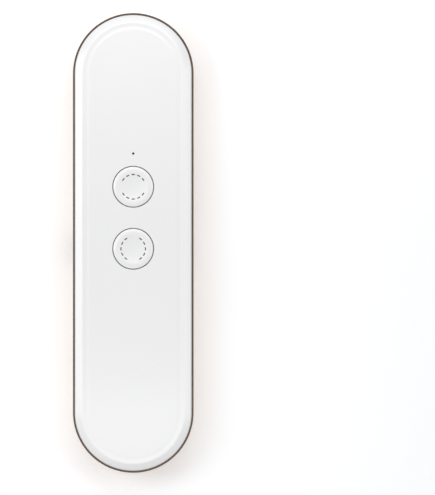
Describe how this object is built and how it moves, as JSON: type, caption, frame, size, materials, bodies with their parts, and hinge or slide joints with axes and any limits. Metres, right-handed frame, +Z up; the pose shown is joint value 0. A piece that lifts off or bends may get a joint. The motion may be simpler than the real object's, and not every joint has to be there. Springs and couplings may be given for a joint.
{
  "type": "handheld voice translator",
  "caption": "Slim pill-shaped handheld voice translator: metallic back shell, white gloss front, two round talk buttons, side keys, charging port and rear loudspeaker grille.",
  "frame": {"origin": "centre of the flat back face", "axes": "+Z up the length towards the loudspeaker end, +Y out of the back, +X towards the side with the keys"},
  "size_m": [0.037, 0.0126, 0.141],
  "materials": {
    "shell_metal": "fine bead-blasted, anodised rose gold",
    "trim_copper": "polished dark copper",
    "panel_white": "hard-coated gloss",
    "button_white": "gloss",
    "mark_grey": "matt inlay",
    "key_metal": "polished rose gold",
    "tape_black": "foam tape",
    "chassis_plastic": "moulded, matt",
    "black_plastic": "moulded, matt",
    "pale_plastic": "moulded, matt",
    "steel": "stamped and nickel plated",
    "board_green": "solder mask",
    "chip_black": "moulded package",
    "gold_contact": "gold plated",
    "copper_film": "etched film",
    "battery_foil": "laminated foil pouch",
    "battery_wrap": "polyimide wrap",
    "red_wire": "wire insulation",
    "rubber_black": "moulded rubber",
    "mesh_cloth": "fine woven mesh",
    "cone_film": "pressed film"
  },
  "bodies": {
    "handset": {"back_shell": "shell_metal", "trim_ring": "trim_copper", "front_panel": "panel_white", "panel_tape": "tape_black", "inner_chassis": "chassis_plastic", "chassis_screws": "steel", "upper_switch": "black_plastic", "lower_switch": "black_plastic", "power_switch": "black_plastic", "volume_pivot_pin": "steel", "volume_switches": "black_plastic", "reset_switch": "black_plastic", "front_mic": "chip_black", "mic_boot": "rubber_black", "main_board": "board_green", "shield_can": "steel", "board_chips": "chip_black", "battery": "battery_foil", "battery_tape": "tape_black", "battery_circuit": "battery_wrap", "battery_leads": "red_wire", "battery_socket": "pale_plastic", "speaker_frame": "black_plastic", "speaker_magnet": "steel", "speaker_cone": "cone_film", "speaker_gasket": "tape_black", "grille_mesh": "mesh_cloth", "speaker_leads": "red_wire", "usb_shell": "steel", "usb_tongue": "black_plastic", "usb_contacts": "gold_contact", "antenna_flex": "copper_film", "antenna_clip": "gold_contact"},
    "upper_talk": {"upper_talk_button": "button_white", "upper_button_marks": "mark_grey", "upper_switch_plunger": "pale_plastic"},
    "lower_talk": {"lower_talk_button": "button_white", "lower_button_marks": "mark_grey", "lower_switch_plunger": "pale_plastic"},
    "power": {"power_key": "key_metal", "power_switch_plunger": "pale_plastic"},
    "volume": {"volume_key": "key_metal"},
    "volume_up": {"volume_up_plunger": "pale_plastic"},
    "volume_down": {"volume_down_plunger": "pale_plastic"},
    "reset": {"reset_plunger": "pale_plastic"}
  },
  "joints": [
    {"name": "upper_talk_press", "type": "slide", "parent": "handset", "child": "upper_talk", "axis": [0, 1, 0], "range_m": [0, 0.0003], "stiffness_N_per_m": 800},
    {"name": "lower_talk_press", "type": "slide", "parent": "handset", "child": "lower_talk", "axis": [0, 1, 0], "range_m": [0, 0.0003], "stiffness_N_per_m": 800},
    {"name": "power_key_press", "type": "slide", "parent": "handset", "child": "power", "axis": [-1, 0, 0], "range_m": [0, 0.0003], "stiffness_N_per_m": 800},
    {"name": "volume_key_rock", "type": "hinge", "parent": "handset", "child": "volume", "pos_m": [0.0154, -0.0035, 0.0025], "axis": [0, -1, 0], "range_deg": [-2.5, 2.5], "stiffness_Nm_per_rad": 0.05},
    {"name": "volume_up_slide", "type": "slide", "parent": "handset", "child": "volume_up", "axis": [-1, 0, 0], "range_m": [-0.0003, 0.0003]},
    {"name": "volume_down_slide", "type": "slide", "parent": "handset", "child": "volume_down", "axis": [-1, 0, 0], "range_m": [-0.0003, 0.0003]},
    {"name": "reset_press", "type": "slide", "parent": "handset", "child": "reset", "axis": [1, 0, 0], "range_m": [0, 0.00025], "stiffness_N_per_m": 400}
  ],
  "couplings": [
    {"joint": "volume_up_slide", "follows": "volume_key_rock", "m_per_rad": 0.0065},
    {"joint": "volume_down_slide", "follows": "volume_key_rock", "m_per_rad": -0.0065}
  ]
}
